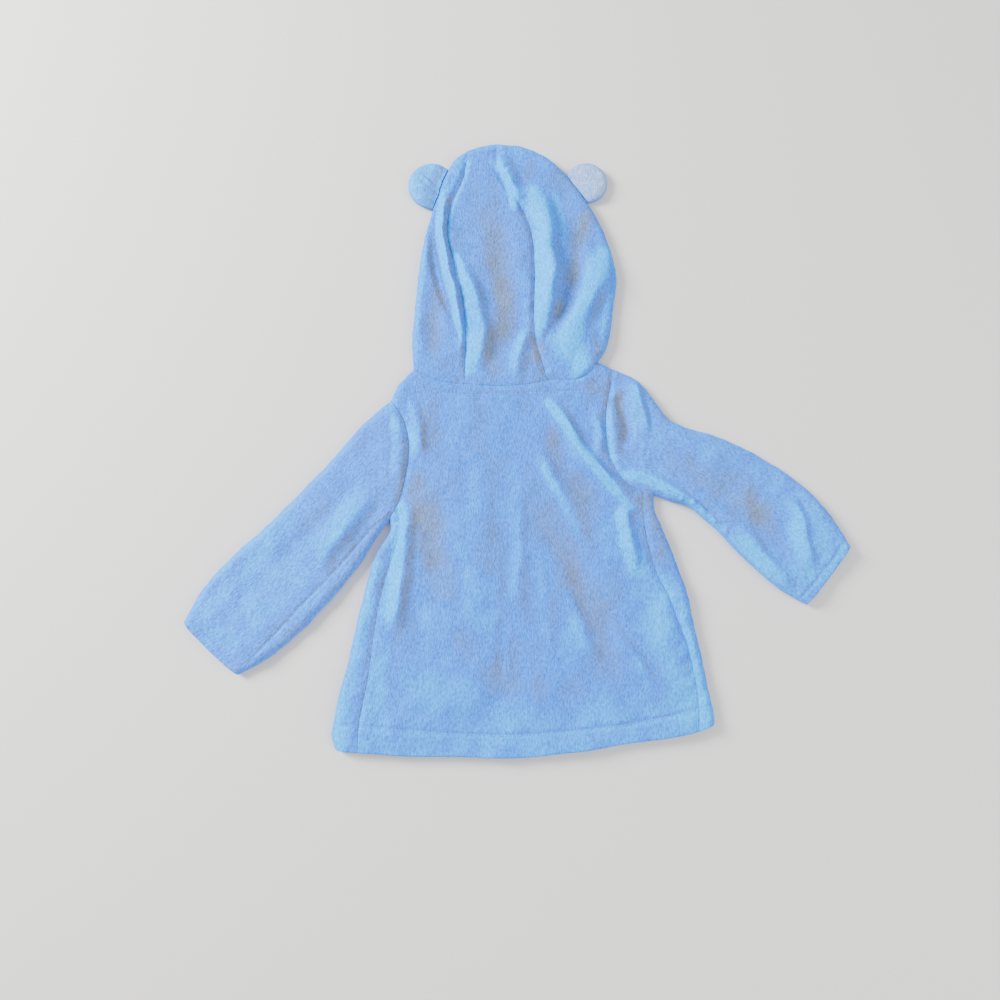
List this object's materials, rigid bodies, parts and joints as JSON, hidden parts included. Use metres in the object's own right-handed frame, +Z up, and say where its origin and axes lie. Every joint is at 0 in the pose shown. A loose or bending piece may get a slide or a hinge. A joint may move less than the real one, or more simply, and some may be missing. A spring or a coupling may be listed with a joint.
{
  "type": "hooded pullover",
  "caption": "Toddler's hooded plush pullover with long sleeves and round ears on the hood, lying flat on its front with its back up.",
  "frame": {"origin": "on the flat underside of the front panel, near the middle of the chest, on the surface that the garment lies on", "axes": "+X across the garment to the right as its back is seen, +Y from the hem to the hood, +Z up from the surface"},
  "size_m": [0.652, 0.6292, 0.0192],
  "materials": {
    "plush": "short velvety pile, light blue, soft sheen",
    "ear_plush": "short velvety pile, slightly paler blue, soft sheen"
  },
  "bodies": {
    "root": {"body_back": "plush", "body_front": "plush", "sleeve_left": "plush", "sleeve_right": "plush", "hood_left": "plush", "hood_gusset": "plush", "hood_right": "plush", "ear_left_back": "ear_plush", "ear_left_front": "ear_plush", "ear_right_back": "ear_plush", "ear_right_front": "ear_plush"}
  },
  "joints": []
}
